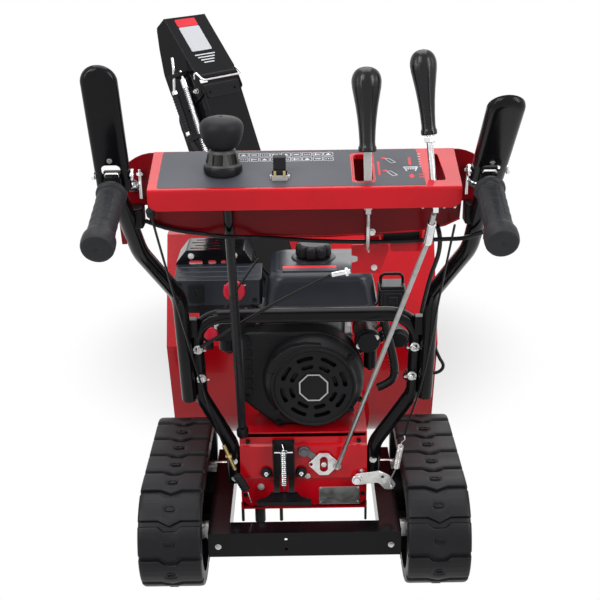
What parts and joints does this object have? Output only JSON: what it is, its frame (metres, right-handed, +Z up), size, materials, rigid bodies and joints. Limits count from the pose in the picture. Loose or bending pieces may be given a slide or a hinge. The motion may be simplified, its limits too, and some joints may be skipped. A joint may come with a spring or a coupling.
{
  "type": "tracked snow blower",
  "caption": "Walk-behind two-stage snow blower on rubber tracks, with an auger housing, turning chute, rear engine and handlebar console.",
  "frame": {"origin": "on the ground under the middle of the whole machine's box", "axes": "+Y forwards, towards the auger housing; +X to the operator's right; +Z up"},
  "size_m": [0.6474, 1.2772, 1.097],
  "materials": {
    "red_paint": "gloss",
    "black_paint": "gloss",
    "track_rubber": "matte",
    "grip_rubber": "satin",
    "black_plastic": "satin",
    "slate_plastic": "satin",
    "red_plastic": "gloss",
    "zinc": "bright",
    "engine_metal": "cast",
    "gear_iron": "rough"
  },
  "bodies": {
    "undercarriage": {"track_left": "track_rubber", "track_right": "track_rubber", "track_wheels_left": "black_plastic", "track_wheels_right": "black_plastic", "track_frame_left": "black_paint", "track_frame_right": "black_paint", "rear_crossbeam": "black_paint", "idler_axles": "zinc", "drive_axle": "zinc"},
    "machine": {"chassis_tub": "red_paint", "rear_cover": "red_paint", "auger_housing": "red_paint", "impeller_drum": "red_paint", "skid_shoe_left": "black_paint", "skid_shoe_right": "black_paint", "scraper_bar": "black_paint", "auger_gearbox": "gear_iron", "belt_cover": "black_plastic", "engine_block": "engine_metal", "fan_shroud": "black_paint", "recoil_cover": "black_paint", "fuel_tank": "slate_plastic", "tank_cap": "black_plastic", "heater_box": "slate_plastic", "muffler_guard": "slate_plastic", "carburettor": "black_plastic", "starter_motor": "engine_metal", "switch_box": "black_plastic", "throttle_knob": "red_plastic", "lower_frame": "black_paint", "handle_left": "black_paint", "handle_right": "black_paint", "grip_left": "grip_rubber", "grip_right": "grip_rubber", "clutch_lever_left": "black_paint", "clutch_lever_right": "black_paint", "console": "red_paint", "console_brackets": "red_paint", "lamp": "black_plastic", "speed_lever": "black_plastic", "deflector_lever": "black_plastic", "joystick": "black_plastic", "toggle_switch": "black_plastic", "speed_rod": "zinc", "shift_plate": "zinc", "drive_arm": "zinc", "chute_rod": "black_plastic", "tilt_pedal": "black_paint"},
    "chute": {"chute_ring": "black_paint", "chute_body": "black_paint"},
    "deflector_hood": {"deflector": "black_paint"},
    "impeller_rotor": {"impeller": "red_paint", "impeller_shaft": "zinc"},
    "auger_rotor": {"auger_left": "red_paint", "auger_right": "red_paint", "auger_shaft": "zinc"}
  },
  "joints": [
    {"name": "body_tilt", "type": "hinge", "parent": "undercarriage", "child": "machine", "pos_m": [0, 0.0625, 0.1125], "axis": [1, 0, 0], "range_deg": [0, 7]},
    {"name": "chute_turn", "type": "hinge", "parent": "machine", "child": "chute", "pos_m": [-0.0675, 0.196, 0.441], "axis": [0, 0, 1], "range_deg": [-145, 45]},
    {"name": "deflector_tilt", "type": "hinge", "parent": "chute", "child": "deflector_hood", "pos_m": [-0.17468, 0.28593, 0.918], "axis": [-0.6428, -0.766, 0], "range_deg": [-19, 50]},
    {"name": "impeller_spin", "type": "hinge", "parent": "machine", "child": "impeller_rotor", "pos_m": [0, 0.2, 0.2], "axis": [0, 1, 0], "continuous": true},
    {"name": "auger_spin", "type": "hinge", "parent": "machine", "child": "auger_rotor", "pos_m": [0, 0.46, 0.165], "axis": [1, 0, 0], "continuous": true}
  ],
  "couplings": [
    {"joint": "auger_spin", "follows": "impeller_spin", "ratio": -0.1}
  ]
}
